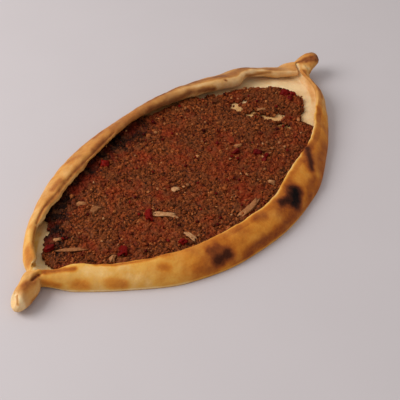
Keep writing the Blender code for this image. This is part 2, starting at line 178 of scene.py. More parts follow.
# The larger bits: name, places, thickness, material
SLABS = (
    ("pepper_pieces", PEPPER_BITS, 2.4, "red_pepper"),
    ("onion_pieces", ONION_BITS, 1.3, "pale_onion"))
SLAB_RISE = 0.8
SLAB_ROUGHNESS = 0.9
SLAB_BEND, SLAB_CURL, SLAB_TILT = (-0.3, 0.3), (0.1, 0.5), {"X": 0.3, "Y": 0.2}
SLAB_TONES = (0.3, 0.7)
SLAB_EDGE = 0.75            # below 1 is squarer than round
SEED = 7

# The crust's unevenness, less on its floor and none below LEVEL_HEIGHT
SURFACE_NOISE = ((0.35, 17, 0), (0.3, 8, 1), (0.1, 3.5, 2))
FLOOR_UNEVENNESS = 0.35
LEVEL_HEIGHT = 0.3
# The fold along the left half of the far rim, just behind its lip
FAR_FOLD = (
    (-12.8, 58.5, 13.6), (-32.5, 54.9, 13), (-54.4, 50.9, 13.2), (-73.3, 45.4, 13.2),
    (-90.1, 41.7, 13), (-96, 38.7, 12.7), (-100.1, 36.1, 11.8))
CREASE_NOISE = ((0.5, 3, 5),)
# Ridges and, below zero, grooves: height, half width, line
CREASES = (
    (-0.8, 1.5, FAR_FOLD),
    (-1.3, 1.4, ((-131, 5.2, 12.3), (-127.8, 5.5, 12.2), (-124.5, 4.8, 12.2))),
    (0.8, 1.6, ((-129, 7.8, 13.1), (-124.5, 6.4, 12.7))),
    (-0.7, 1.7, ((128.5, 10.6, 15.2), (133.5, 7.3, 16.6), (137, 4.4, 17.2))))

# The surfaces that are more than one stretch of a ring. "any" is all of them
SURFACES = {
    "near": ("near_outer", "near_edge"),
    "far": ("far_outer", "far_edge", "far_inner"),
    "inside": ("near_inner", "floor", "far_inner"),
}
UNDERSIDE_BAKE = 0.45
# How far each surface is baked along x: 0 pale, 0.3 gold, 0.6 orange brown, 0.8 dark brown, 1 char
BAKE_LEVELS = {
    "near_outer": ((-127, 0.32), (-112, 0.25), (-85, 0.27), (-72, 0.4), (-60, 0.52), (-35, 0.48),
                   (0, 0.48), (36, 0.53), (72, 0.54), (98, 0.42), (110, 0.3), (129, 0.32)),
    "near_edge": ((-127, 0.34), (-60, 0.42), (0, 0.45), (129, 0.42)),
    "far_outer": ((-127, 0.24), (-112, 0.27), (-95, 0.36), (-75, 0.42), (-60, 0.38), (-20, 0.56),
                  (10, 0.6), (40, 0.5), (129, 0.46)),
    "far_edge": ((-127, 0.26), (-112, 0.3), (-60, 0.34), (-20, 0.54), (15, 0.6), (42, 0.44),
                 (60, 0.26), (100, 0.2), (129, 0.26)),
    "far_inner": ((-127, 0.26), (-60, 0.35), (20, 0.42), (50, 0.42), (72, 0.14), (129, 0.08)),
    "near_inner": ((-127, 0.24), (60, 0.22), (100, 0.17), (129, 0.18)),
    "floor": ((-127, 0.08), (-105, 0.09), (-92, 0.19), (40, 0.12), (60, 0.08), (129, 0.06)),
    "underside": ((-127, UNDERSIDE_BAKE), (129, UNDERSIDE_BAKE)),
}
LEFT_KNOB_BAKE, RIGHT_KNOB_BAKE = 0.34, 0.38
BAKE_NOISE = ((0.1, 13, 9), (0.08, 5, 10))
# Bands along the rim, by how much they change the bake
PALE_LIP, LIP_SHADE, PALE_FOOT, FOOT_SHADE = 0.20, 0.10, 0.26, 0.10
# Far rim: partly browning, partly painted shade under its lip and roll; its pale lip partly a
# painted highlight
FAR_LIP_SHADE, FAR_LIP_PALE, FAR_FOLD_SHADE, ROLL_CREST, ROLL_SHADE = 0.10, 0.07, 0.26, 0.20, 0.24
BAND_NOISE = ((1, 7, 6),)
# How far each surface is dull tan and not golden, and how that changes along x: surface, change,
# where it starts and where it is full
TAN_SHARES = {"any": 0.45, "near_outer": 0.05, "near_edge": 0.15, "far": 0.55, "inside": 0.9}
TAN_CHANGES = (
    ("far", 0.35, 0, 40), ("far", -0.25, -98, -110), ("near", 0.45, 92, 106),
    ("inside", -0.7, -96, -104))
KNOB_TAN, CAP_TAN = 0.55, 0.95
TAN_NOISE = ((0.25, 9, 19),)
MARK_NOISE = ((0.9, 5, 7), (0.5, 2.2, 8))
# Burns and pale places, and painted shade and light, by surface: how far baked, half width, line
MARKS = (
    ("near", (
        (0.68, 11, ((22, -61.5, 11.8), (12, -69, 9.2), (4, -67, 10.5))),
        (1, 7.8, ((20.4, -64.1, 11.4), (13, -69, 9.2))),
        (0.93, 4.6, ((12, -65.5, 11.8), (6.5, -64.2, 12.4))),
        (0.7, 6, ((57, -46.5, 13.8), (43.4, -59.6, 11))),
        (0.88, 3.2, ((56, -48, 13.8), (44.5, -59.8, 11))),
        (0.68, 3.2, ((95.1, -29.6, 14.4), (92, -33.6, 13.4))),
        (0.64, 10.5, ((-43, -62, 9.6), (-54, -61, 8))),
        (0.9, 6.2, ((-45, -63.1, 8.8), (-51.5, -62, 8))),
        (0.78, 4.6, ((-47.4, -57.2, 12.1), (-50.8, -55.6, 12))),
        (0.64, 6, ((-58.8, -59.7, 6.6), (-62.8, -57.1, 7.3))),
        (0.7, 5.6, ((-34.4, -69.5, 4.6), (-21.3, -71.5, 5.5), (-9.9, -72.8, 5.8),
                    (8.1, -72.3, 6.9))),
        (0.68, 4.6, ((-15.9, -60.6, 13.1), (-10.2, -62.6, 12.9))),
        (0.66, 5, ((30, -68, 8), (40, -64, 8))),
        (0.44, 6, ((29, -60.5, 12.1), (37, -58, 12))),
        (0.66, 6, ((56, -58, 9), (70, -52, 8))),
        (0.5, 5.5, ((-114.5, -12, 5.5), (-111.5, -15.3, 5.6))),
        (0.49, 5.6, ((-101.9, -25.4, 6.5), (-97.7, -30.5, 5.3))),
        (0.58, 4.2, ((-77.6, -42.6, 11.3), (-76, -44.9, 10.7))),
        (0.64, 2.4, ((-123.1, 4.1, 12.5), (-117.2, -0.7, 12.2), (-110.2, -7, 12.3))),
        (0.52, 4, ((-125.9, 1.9, 8.2), (-121.9, -3.8, 5.4))),
        (0.18, 5, ((-106, -12.9, 11.7), (-100.7, -20.1, 11.6))),
        (0.58, 1.8, ((-101.3, -13.8, 12.9), (-93.9, -22.8, 13.1), (-83.4, -31.3, 13.1),
                     (-69.6, -40, 13))),
        (0.62, 2.6, ((126, 4.5, 13), (122.9, 0, 13.6), (119.5, -7.5, 14), (115.5, -15, 14),
                     (107, -25, 13.4))))),
    ("far", (
        (0.61, 4.4, ((-75.5, 49.5, 13.2), (-68.1, 50.6, 13.9))),
        (0.46, 4.6, ((-40, 61.5, 12.6), (-33, 61.2, 13.2))),
        (0.64, 3.8, ((-23.9, 66.2, 11.4), (-16.3, 67.3, 11.1))),
        (0.6, 2.2, ((-103, 33.5, 11.5), (-108, 29, 11.5), (-112, 24.5, 11.5))),
        (0.58, 3.8, ((-50.5, 62.7, 10.5), (-47.3, 60.3, 12.3), (-44, 59, 13.3))),
        # Brown line in the far rim's fold: partly browned crust, partly painted shade in the crease
        (0.72, 1.3, FAR_FOLD))),
    ("far_outer", ((0.54, 6, ((-116.9, 25.4, 10.9), (-124.3, 16.1, 12.2))),)),
    ("far", (
        (0.6, 6, ((17.8, 60.1, 13.6), (36.8, 62.9, 7))),
        (0.6, 3.4, ((84, 41.5, 13.6), (92, 37, 15), (97, 34.5, 15.8))),
        # Brown band under the far roll: partly browned crust, partly painted shade beneath the roll
        (0.7, 3.6, ((20, 57.7, 12.4), (37.1, 53.6, 11.4), (45, 51.4, 11.2), (53.2, 49.2, 12.8),
                    (60.9, 44.8, 12.6), (68.4, 40, 11.4))),
        (0.56, 2.2, ((94, 31.5, 12.5), (97.2, 30.2, 11.5), (103.4, 26, 11.8),
                     (109.8, 21.7, 11.7))))),
    # A small pit in the roll, not modelled, painted as a dark spot: painted shade
    ("far_edge", ((0.95, 1.3, ((77.4, 37.2, 15.5), (78, 37, 15.4))),)),
    ("floor", (
        (0.3, 13, ((69, 20, 4), (78, -9.4, 4))),
        (0.48, 5, ((72.3, -15.6, 4), (74.1, -20.5, 4))))),
    ("inside", (
        (0.4, 4, ((44.7, 60.6, 6.1), (54.7, 55.4, 4.6), (62.8, 52.9, 4.7))),
        (0.52, 3, ((-102.2, 34.3, 11.2), (-108.3, 29.6, 10.9))))),
    ("any", (
        (0.64, 4.2, ((-138.8, 2.6, 12.7), (-136.4, 4.2, 13.2), (-133.8, 4.4, 12.9),
                     (-131, 3.4, 12.4))),
        (0.46, 1.3, ((-143.5, 2.9, 11.9), (-144.9, 1.3, 11), (-145.8, 0.2, 9.4))),
        # Dark line in the left knob's fold crease: partly browned crust, partly painted shade
        (0.8, 1.9, ((-130, 5.4, 12.3), (-126.6, 4.9, 12))),
        (0.56, 3, ((-137.6, -1.6, 5.4), (-133, -1.4, 4.5))),
        # Brown line in the right knob's groove between its strands: partly browned crust, partly
        # painted shade
        (0.7, 3.2, ((128.9, 10.4, 15.4), (133.5, 7.3, 16.8), (137.7, 4.1, 17.6))),
        (0.88, 3, ((141.5, 3.2, 17), (141.5, 1, 14))),
        (0.18, 3.2, ((127, 3.8, 14.5), (129.4, 1.9, 13))),
        (0.72, 2.8, ((132.5, 6, 16.5), (135.9, 3.7, 17.1), (138.2, 2, 16.4))))),
    # Painted shade under the near lip, along the inner wall near the right end
    ("near_inner", ((0.34, 3, ((123.4, -1.8, 6.3), (119.4, -7.8, 5.2), (111.2, -15.7, 4.6))),)),
    # Painted light on the dough in the shaded valley where the lips meet by the right knob
    ("inside", ((0.04, 3.2, ((126.9, 10.2, 12.9), (126, 8.4, 10.7), (125.3, 5.5, 8.9))),)),
)

# Colours as a picture shows them, 0 to 255, each at its place between 0 and 1
GOLD_COLOURS = (
    (0, (238, 208, 154)), (0.15, (228, 184, 114)), (0.3, (219, 161, 73)), (0.45, (205, 130, 46)),
    (0.6, (176, 98, 32)), (0.72, (138, 68, 28)), (0.86, (74, 34, 18)), (1, (14, 6, 5)))
TAN_COLOURS = (
    (0, (240, 212, 164)), (0.15, (226, 188, 137)), (0.3, (212, 162, 106)), (0.45, (188, 134, 78)),
    (0.6, (160, 106, 60)), (0.72, (128, 78, 44)), (0.86, (74, 36, 20)), (1, (14, 6, 5)))
MEAT_COLOURS = (
    (0, (30, 12, 6)), (0.22, (82, 36, 14)), (0.45, (124, 60, 24)), (0.62, (148, 74, 32)),
    (0.8, (172, 104, 54)), (1, (188, 138, 96)))
# Where the meat is redder or greyer: size and detail of the noise, most of it, the noise's values
# where it starts and is full, colour
MEAT_ZONES = ((12, 3, 0.56, 0.46, 0.72, (138, 38, 13)), (5, 4, 0.6, 0.5, 0.72, (116, 66, 36)))
PEPPER_COLOURS = ((0, (46, 3, 2)), (0.5, (102, 8, 4)), (1, (146, 30, 14)))
ONION_COLOURS = ((0, (116, 62, 32)), (0.5, (162, 106, 64)), (1, (208, 164, 118)))
SPICE_COLOURS = ((0, (22, 14, 12)), (0.6, (44, 26, 20)), (1, (70, 42, 28)))
# The bits' materials: colours and least roughness
BIT_LOOKS = {"red_pepper": (PEPPER_COLOURS, 0.25), "pale_onion": (ONION_COLOURS, 0.35),
             "dark_spice": (SPICE_COLOURS, 0.6)}
GLOSS = 0.06
DOUGH_ROUGHNESS, MEAT_ROUGHNESS, FLOOR_ROUGHNESS = (0.62, 0.5), (0.3, 0.75), 0.75
SUBSURFACE = {"Subsurface Weight": 0.12, "Subsurface Radius": (1.0, 0.55, 0.25),
              "Subsurface Scale": 1.5 * MM}
FLOOR_COLOURS = ((196, 188, 189), (200, 192, 193))

FLOOR_HALF = 3000.0
# The camera and the lamp, in metres, degrees and watts
LENS, SENSOR = 72.0, 36.0
CAMERA_PLACE = (-0.2854, -0.24636, 0.3516)
CAMERA_HEADING, CAMERA_TILT = 40.19, 44.6
SKY_COLOUR, SKY_STRENGTH = (1.0, 0.98, 0.97, 1), 0.54
KEY_PLACE, KEY_SIZE, KEY_ENERGY = (-0.58, 0.60, 0.74), 0.7, 9.8


def slope_at(points, i):
    """The mean of the slopes before and after point i, the flatter one counting more."""
    last = len(points) - 1
    starts = max(i - 1, 0), min(i, last - 1)
    before, after = ((points[k + 1][1] - points[k][1]) / (points[k + 1][0] - points[k][0])
                     for k in starts)
    return 2 * before * after / (before + after) if before * after > 0 else 0.0


def curve(points, x):
    """The smooth curve through the points, read at x."""
    last = len(points) - 1
    i = 0
    while i < last - 1 and x > points[i + 1][0]:
        i += 1
    (x0, y0), (x1, y1) = points[i], points[i + 1]
    slope0, slope1 = slope_at(points, i), slope_at(points, i + 1)
    step = x1 - x0
    t = min(max((x - x0) / step, 0.0), 1.0)
    rise = 3 * t * t - 2 * t * t * t
    return (y0 + (y1 - y0) * rise + slope0 * step * t * (1 - t) ** 2
            - slope1 * step * t * t * (1 - t))


def smooth(t):
    t = np.clip(t, 0.0, 1.0)
    return t * t * (3 - 2 * t)


def rising(values, start, full):
    """0 at start and before it, 1 from full on, and smooth between them."""
    return smooth((values - start) / (full - start))


def bezier(p0, p1, p2, p3, steps):
    """The points of a cubic curve from p0 to p3, both included."""
    t = np.linspace(0, 1, steps + 1)[:, None]
    s = 1 - t
    p0, p1, p2, p3 = (np.array(p, float) for p in (p0, p1, p2, p3))
    return s ** 3 * p0 + 3 * s * s * t * p1 + 3 * s * t * t * p2 + t ** 3 * p3


def wall(base, lip, height, foot, thickness, droop):
    """One side's wall in cross-section, as if the boat lay at larger y than base: its outer face
    from the lip down to the table, the lip's rounded edge, and its inner face down to the floor."""
    lean = lip - base
    top = np.array((lip, height))
    shoulder = np.array((lip - lean / 2, height - SHOULDER_DROP))
    outer = bezier(top, shoulder, (base - BULGE, height / 2), (base + UNDERCUT, 0.0), OUTER_STEPS)
    along = (top - shoulder) / np.linalg.norm(top - shoulder)
    inward = np.array((along[1], -along[0]))
    start = top + thickness * inward
    middle = (top + start) / 2
    turns = np.pi * np.arange(EDGE_STEPS, 0, -1)[:, None] / (EDGE_STEPS + 1)
    edge = (middle - thickness / 2 * np.cos(turns) * inward
            + thickness * LIP_ROUNDING * np.sin(turns) * along)
    under = start - (LIP_ROUNDING * lean + SHOULDER_DROP) * along
    upright = max(0.0, 1 - lean / FULL_LEAN)
    corner = (base + INNER_CORNER + UPRIGHT_CORNER * upright, FLOOR_THICKNESS + INNER_CORNER)
    inner = bezier(start, under, corner, (base + foot, FLOOR_THICKNESS), INNER_STEPS)
    for points in (outer, edge, inner):
        behind = np.clip(1 - (lip - points[:, 0]) / DROOP_REACH, 0, DROOP_LIMIT)
        high = rising(points[:, 1] - FLOOR_THICKNESS, *DROOP_HEIGHTS)
        points[:, 1] -= droop * behind ** 2 * high
    return outer, edge, inner


def lip_sway(x, side):
    """Small waves in the lip's edge, for side 1, the near one, or 2, the far one."""
    (broad, fine), (long, short) = LIP_WAVES[side - 1], LIP_WAVE_LENGTHS
    return (broad * noise.noise((x / long, side * 5.0, 0))
            + fine * noise.noise((x / short, side * 9.0, 4)))


def walls(x):
    """The near wall at x and the far one, the far one mirrored to look like a near one."""
    near_base, far_base = curve(NEAR_BASE, x), curve(FAR_BASE, x)
    foot = min(WALL_FOOT, FOOT_SHARE * (far_base - near_base))
    near = wall(near_base, curve(NEAR_LIP, x) + lip_sway(x, 1), curve(NEAR_RIM_HEIGHT, x), foot,
                curve(NEAR_LIP_THICKNESS, x), curve(NEAR_DROOP, x))
    far = wall(-far_base, lip_sway(x, 2) - curve(FAR_LIP, x), curve(FAR_RIM_HEIGHT, x), foot,
               curve(FAR_LIP_THICKNESS, x), curve(FAR_DROOP, x))
    return near, far


def between(a, b, steps):
    """The points that divide the way from a to b, without the ends."""
    return np.linspace(a, b, steps + 1)[1:-1]


def stretches():
    """Where each stretch of a ring starts and ends in it, from the near lip down and round."""
    outer, inner = OUTER_STEPS + 1, INNER_STEPS + 1
    lengths = {"near_outer": outer, "underside": UNDERSIDE_STEPS - 1, "far_outer": outer,
               "far_edge": EDGE_STEPS, "far_inner": inner, "floor": FLOOR_STEPS - 1,
               "near_inner": inner, "near_edge": EDGE_STEPS}
    ends = np.cumsum(list(lengths.values()))
    return {name: (end - length, end) for (name, length), end in zip(lengths.items(), ends)}


STRETCHES = stretches()


def body_section(x):
    """The boat's cross-section at x, a closed loop of (y, z), stretch by stretch."""
    near, far = walls(x)
    far = [part * (-1, 1) for part in far]
    underside = between(near[0][-1], far[0][-1], UNDERSIDE_STEPS)
    floor = between(far[2][-1], near[2][-1], FLOOR_STEPS)
    return np.concatenate([near[0], underside, far[0][::-1], far[1][::-1], far[2], floor,
                           near[2][::-1], near[1]])


def round_angles():
    """Where each point of a cross-section goes on a round one, as angles from +Y over the top."""
    outer = OUTER_STEPS + 1
    inner = 2 * (INNER_STEPS + 1) + FLOOR_STEPS - 1 + 2 * EDGE_STEPS
    (side_start, side_end), (far_start, far_end) = NEAR_SIDE_ARC, FAR_SIDE_ARC
    return np.radians(np.concatenate([
        np.linspace(side_start, side_end, outer),
        np.linspace(side_end, far_start, UNDERSIDE_STEPS + 1)[1:-1],
        np.linspace(far_start, far_end, outer),
        np.linspace(far_end, side_start + 360, inner + 2)[1:-1]]))


def ring_round(centre, facing, half_width, half_height, turn):
    """A twisted knob's cross-section: two shallow strands side by side, turned by turn."""
    ahead = Vector(facing).normalized()
    side = Vector((0, 0, 1)).cross(ahead).normalized()
    up = ahead.cross(side)
    angle = round_angles()
    swell = 1 + TWIST_DEPTH * np.cos(2 * angle + turn) * rising(abs(turn), 0, 0.5)
    across = (half_width * swell * np.cos(angle))[:, None]
    above = (half_height * swell * np.sin(angle))[:, None]
    return np.array(centre) + across * np.array(side) + above * np.array(up)


def ring_body(x):
    """One ring of the boat, closing up towards a round section where a neck begins."""
    section = body_section(x)
    section = np.column_stack([np.full(len(section), x), section])
    near_base, far_base = curve(NEAR_BASE, x), curve(FAR_BASE, x)
    open_left = (x - NEAR_BASE[0][0]) / LEFT_NECK_LENGTH
    open_right = (NEAR_BASE[-1][0] - x) / RIGHT_NECK_LENGTH
    closed = float(smooth(1 - min(open_left, open_right)))
    if closed == 0:
        return section
    knob = LEFT_KNOB if x < 0 else RIGHT_KNOB
    middle = (x, (near_base + far_base) / 2, knob[0][2])
    neck = ring_round(middle, (1, 0, 0), (far_base - near_base) / 2, knob[0][4], 0.0)
    return section + (neck - section) * closed


def knob_rings(stations, cap_facing, hand):
    """The rings of a knob from its neck to its tip, each facing the way the knob runs."""
    ahead = Vector(cap_facing) * (1 if stations[-1][0] > 0 else -1)
    rings = []
    for i in range(1, KNOB_COLUMNS + 1):
        share = i / KNOB_COLUMNS
        x = stations[0][0] + (stations[-1][0] - stations[0][0]) * share
        values = [curve(sorted((s[0], s[k]) for s in stations), x) for k in range(1, 5)]
        facing = Vector((1, 0, 0)).lerp(ahead, float(smooth(share)))
        rings.append(ring_round((x, *values[:2]), facing, *values[2:], hand * share * TWIST_TURN))
    return rings


def cap_rings(ring, facing, hand):
    """The end of a knob: rings that shrink over a rounded edge to a rolled, dimpled middle."""
    centre = ring.mean(0)
    outwards = np.array(Vector(facing).normalized())
    angle = round_angles()
    made = []
    for k in range(1, CAP_RINGS + 1):
        size = 1 - k / (CAP_RINGS + 1)
        roll = np.sin(hand * angle + CAP_ROLL_TURNS * size)
        roll *= smooth(size * 3) * smooth((1 - size) * 4)
        lift = CAP_EDGE * smooth((1 - size) * 5) - CAP_BOWL * (1 - size) ** 2 + CAP_ROLL * roll
        made.append(centre + (ring - centre) * size + lift[:, None] * outwards)
    return made, centre - outwards * CAP_MIDDLE


def column_places():
    """Where the boat is cut into columns: closer together towards the ends."""
    start, end = NEAR_BASE[0][0], NEAR_BASE[-1][0]
    t = np.arange(BODY_COLUMNS + 1) / BODY_COLUMNS
    return start + (end - start) * (t - END_CROWDING * np.sin(2 * np.pi * t) / (2 * np.pi))


def crust_grid():
    """The crust's rings as an array of points, and the two points that close its ends."""
    left = knob_rings(LEFT_KNOB, LEFT_CAP_FACING, -1)
    right = knob_rings(RIGHT_KNOB, RIGHT_CAP_FACING, 1)
    left_cap, left_end = cap_rings(left[-1], LEFT_CAP_FACING, -1)
    right_cap, right_end = cap_rings(right[-1], RIGHT_CAP_FACING, 1)
    body = [ring_body(float(x)) for x in column_places()]
    rings = left_cap[::-1] + left[::-1] + body + right + right_cap
    return np.array(rings), left_end, right_end


def grid_normals(grid):
    """The outward normals of a closed tube of rings."""
    along = np.gradient(grid, axis=0)
    across = np.roll(grid, -1, axis=1) - np.roll(grid, 1, axis=1)
    normals = np.cross(across, along)
    return normals / np.maximum(np.linalg.norm(normals, axis=2, keepdims=True), 1e-9)


def noise_field(points, size, seed):
    """Smooth noise between about -1 and 1 at each point of an array."""
    flat = points.reshape(-1, 3) / size + seed * 7.3
    return np.array([noise.noise(p) for p in flat.tolist()]).reshape(points.shape[:-1])


def layered(points, layers):
    """The sum of a few layers of noise at each point of an array."""
    return sum(strength * noise_field(points, size, seed) for strength, size, seed in layers)


def plane_noise(x, y, layers):
    """The same on the plane z = 0."""
    return layered(np.stack([x, y, 0 * x], -1), layers)


def distance_to_line(points, line):
    """How far each point of an array is from a line through a few places."""
    nearest = np.full(points.shape[:-1], np.inf)
    for a, b in zip(line, line[1:] or line):
        a, run = np.array(a, float), np.array(b, float) - a
        share = np.clip((points - a) @ run / max(run @ run, 1e-9), 0, 1)
        nearest = np.minimum(nearest, np.linalg.norm(points - a - share[..., None] * run, axis=-1))
    return nearest


# ---- the crust's surface

def uneven(grid):
    """The crust with the bumps and creases of its baked surface. The underside stays level."""
    height = grid[..., 2]
    raised = layered(grid, SURFACE_NOISE)
    on_floor = (height < FLOOR_THICKNESS + LEVEL_HEIGHT) & (np.abs(grid[..., 0]) < NEAR_BASE[-1][0])
    raised *= np.where(height < LEVEL_HEIGHT, 0, smooth(height / FLOOR_THICKNESS))
    raised *= np.where(on_floor, FLOOR_UNEVENNESS, 1)
    warp = layered(grid, CREASE_NOISE)
    for rise, radius, line in CREASES:
        raised += rise * smooth(1 - (distance_to_line(grid, line) + warp) / radius)
    return grid + grid_normals(grid) * raised[..., None]


def surface_columns(surface):
    """Which columns of the grid belong to a surface."""
    chosen = np.zeros(max(STRETCHES.values())[1], bool)
    for name in STRETCHES if surface == "any" else SURFACES.get(surface, (surface,)):
        chosen[slice(*STRETCHES[name])] = True
    return chosen


def lip_distance(grid, edge):
    """How far each point is from the middle of the lip in its own ring."""
    start, end = STRETCHES[edge]
    return np.linalg.norm(grid - grid[:, (start + end) // 2][:, None], axis=2)


def band(distance, start, end, softness=0.8):
    """1 between two distances from a lip and 0 outside them."""
    return (smooth((distance - start) / softness + 0.5)
            * smooth((end - distance) / softness + 0.5))


def bake_levels(grid):
    """How far each place is baked, 0 pale dough to 1 char, before its marks, with some painted
    shade.
    """
    x, height = grid[..., 0], grid[..., 2]
    bake = np.zeros(x.shape)
    for surface, levels in BAKE_LEVELS.items():
        columns = surface_columns(surface)
        bake[:, columns] = np.interp(x[:, columns], *np.transpose(levels))
    near, far = lip_distance(grid, "near_edge"), lip_distance(grid, "far_edge")
    near_side, far_side = surface_columns("near"), surface_columns("far")
    wave = layered(grid, BAND_NOISE)

    pale = band(near, 0, 1.6 + 0.5 * wave) * rising(x, -45, -15) * rising(x, 112, 96)
    bake -= PALE_LIP * pale * near_side
    bake += LIP_SHADE * band(near, 2.0, 5.5 + wave) * rising(x, -60, -30) * near_side
    bake -= PALE_FOOT * rising(height, 2.4, 1.2) * near_side * rising(x, 40, 10)
    bake += FOOT_SHADE * rising(np.abs(height - 4), 4, 1) * near_side * rising(x, -50, -25)

    left = rising(x, -10, -30)
    # Partly browning and partly painted shade, on the band under the far lip
    shade = band(far, 1.2, 4.6 + 1.6 * wave, 1.6) * left * far_side
    bake += FAR_LIP_SHADE * shade * smooth(0.7 + wave)
    # The far lip's pale line: partly pale dough, partly a painted highlight
    bake -= FAR_LIP_PALE * band(far, -1, 1.2) * left * smooth(0.6 + wave)
    # Where each column lies on the far rim: -3 at its outer foot, 0 to 1 over the lip, 4 inside
    turn = np.zeros(x.shape[1])
    for name, start, end in (("far_outer", -3, 0), ("far_edge", 0, 1), ("far_inner", 1, 4)):
        columns = slice(*STRETCHES[name])
        turn[columns] = np.linspace(start, end, columns.stop - columns.start)
    # Partly browning and partly painted shade, inside the far rim's fold
    fold = rising(turn, 0.4, 0.8) * rising(turn, 3, 2) * left * far_side
    bake += FAR_FOLD_SHADE * fold * smooth(0.8 + wave)
    rolled = rising(x, 10, 35) * rising(x, 122, 114) * far_side
    bake += ROLL_CREST * smooth(1 - np.abs(turn + 0.5 + 0.2 * wave) / 0.6) * rolled
    # Partly browning and partly painted shade, on the underside of the roll
    bake += ROLL_SHADE * rising(turn, 1.0, 1.2) * rising(turn, 2.6, 1.8) * rolled
    bake[height < LEVEL_HEIGHT] = UNDERSIDE_BAKE
    return bake


def tan_field(grid):
    """Where the crust is dull tan instead of gold: inside the boat and on the far rim."""
    x = grid[..., 0]
    tan = np.zeros(x.shape)
    for surface, share in TAN_SHARES.items():
        tan[:, surface_columns(surface)] = share
    for surface, change, start, full in TAN_CHANGES:
        tan += change * rising(x, start, full) * surface_columns(surface)
    tan += (KNOB_TAN - tan) * rising(np.abs(x), 124, 129)
    tan += (CAP_TAN - tan) * rising(np.abs(x), 138, 142)
    return np.clip(tan + layered(grid, TAN_NOISE), 0, 1)


def knob_bake(grid, bake):
    """Blends in the colours of the knobs, which belong to no stretch."""
    x, height = grid[..., 0], grid[..., 2]
    left = LEFT_KNOB_BAKE - 0.29 * rising(x, -141.5, -144) + 0.12 * rising(height, 9, 3)
    right = RIGHT_KNOB_BAKE + 0.12 * rising(height, 14, 18) + 0.10 * rising(x, 138, 142)
    bake = bake + (left - bake) * rising(x, -124.5, -128.5)
    return bake + (right - bake) * rising(x, 124, 129)


def add_marks(grid, bake):
    """Burns, blisters, pale places and painted shade and light, each along a short line on one
    surface.
    """
    warp = layered(grid, MARK_NOISE)
    for surface, marks in MARKS:
        columns = surface_columns(surface)
        for tone, radius, line in marks:
            reach = distance_to_line(grid, line) + warp * min(1.0, radius / 4)
            bake = bake + (tone - bake) * smooth(1.1 * (1 - reach / radius)) * columns
    return bake


def bake_field(grid):
    bake = knob_bake(grid, bake_levels(grid)) + layered(grid, BAKE_NOISE)
    return np.clip(add_marks(grid, bake), 0, 1)


# ---- materials

def paint(colour):
    """The colour of a picture's pixel, 0 to 255, as the shares of light that it stands for."""
    shares = [c / 255 / 12.92 if c <= 10 else ((c / 255 + 0.055) / 1.055) ** 2.4 for c in colour]
    return (*shares, 1)


class Looks:
    """A new material and the nodes that go into it. A layer of noise is its strength, the size of
    its lumps in millimetres and, where it isn't 3, its detail."""

    def __init__(self, name):
        self.material = bpy.data.materials.new(name)
        self.material.use_nodes = True
        self.tree = self.material.node_tree
        self.shader = self.tree.nodes["Principled BSDF"]
        self.places = self.node("TexCoord", "Object")

    def fill(self, made, inputs):
        """Sets each input to its value, or links it to another node's output."""
        for key, value in inputs.items():
            if isinstance(value, bpy.types.NodeSocket):
                self.tree.links.new(value, made.inputs[key])
            else:
                made.inputs[key].default_value = value

    def node(self, kind, output, inputs=None, **settings):
        """One output of a new node."""
        made = self.tree.nodes.new("ShaderNode" + kind)
        for name, value in settings.items():
            setattr(made, name, value)
        self.fill(made, inputs or {})
        return made.outputs[output]

    def noise(self, size, detail=3.0):
        inputs = {"Scale": 1 / (size * MM), "Detail": detail, "Vector": self.places}
        return self.node("TexNoise", "Fac", inputs)

    def attribute(self, name):
        return self.node("Attribute", "Fac", attribute_name=name)

    def varied(self, value, *layers):
        """The value plus each layer of noise, up and down."""
        for strength, *layer in layers:
            centred = self.node("Math", 0, {0: self.noise(*layer), 1: 0.5}, operation="SUBTRACT")
            scaled = self.node("Math", 0, {0: centred, 1: strength}, operation="MULTIPLY")
            value = self.node("Math", 0, {0: value, 1: scaled}, operation="ADD")
        return value

    def ramp(self, factor, stops):
        """Colours that follow the factor."""
        colour = self.node("ValToRGB", "Color", {"Fac": factor})
        elements = colour.node.color_ramp.elements
        for i, (place, stop_colour) in enumerate(stops):
            stop = elements[i] if i < 2 else elements.new(place)
            stop.position, stop.color = place, paint(stop_colour)
        return colour

    def mapped(self, value, low, high, start=0.0, end=1.0):
        """Takes start to end to low to high, and stays there beyond them."""
        return self.node("MapRange", "Result", {"Value": value, "From Min": start, "From Max": end,
                                                "To Min": low, "To Max": high})

    def mix(self, share, first, second):
        """The first colour with a share of the second over it."""
        return self.node("Mix", 2, {0: share, 6: first, 7: second}, data_type="RGBA")

    def finish(self, colour, rough, *relief):
        """The material with its colour, its roughness, a dull gloss and the layers of fine relief,
        whose strengths are millimetres."""
        inputs = {"Base Color": colour, "Roughness": rough, "Specular IOR Level": GLOSS}
        below = {}
        for height, size in relief:
            bump = {"Distance": height * MM, "Height": self.noise(size), **below}
            below = {"Normal": self.node("Bump", "Normal", bump)}
        self.fill(self.shader, {**inputs, **below})
        return self.material


def dough_material():
    looks = Looks("baked_dough")
    bake = looks.varied(looks.attribute("bake"), (0.20, 4.0, 4.0), (0.10, 1.3))
    colour = looks.mix(looks.attribute("tan"), looks.ramp(bake, GOLD_COLOURS),
                       looks.ramp(bake, TAN_COLOURS))
    rough = looks.varied(looks.mapped(bake, *DOUGH_ROUGHNESS), (0.18, 2.5))
    looks.fill(looks.shader, SUBSURFACE)
    return looks.finish(colour, rough, (0.35, 2.2), (0.12, 0.6))


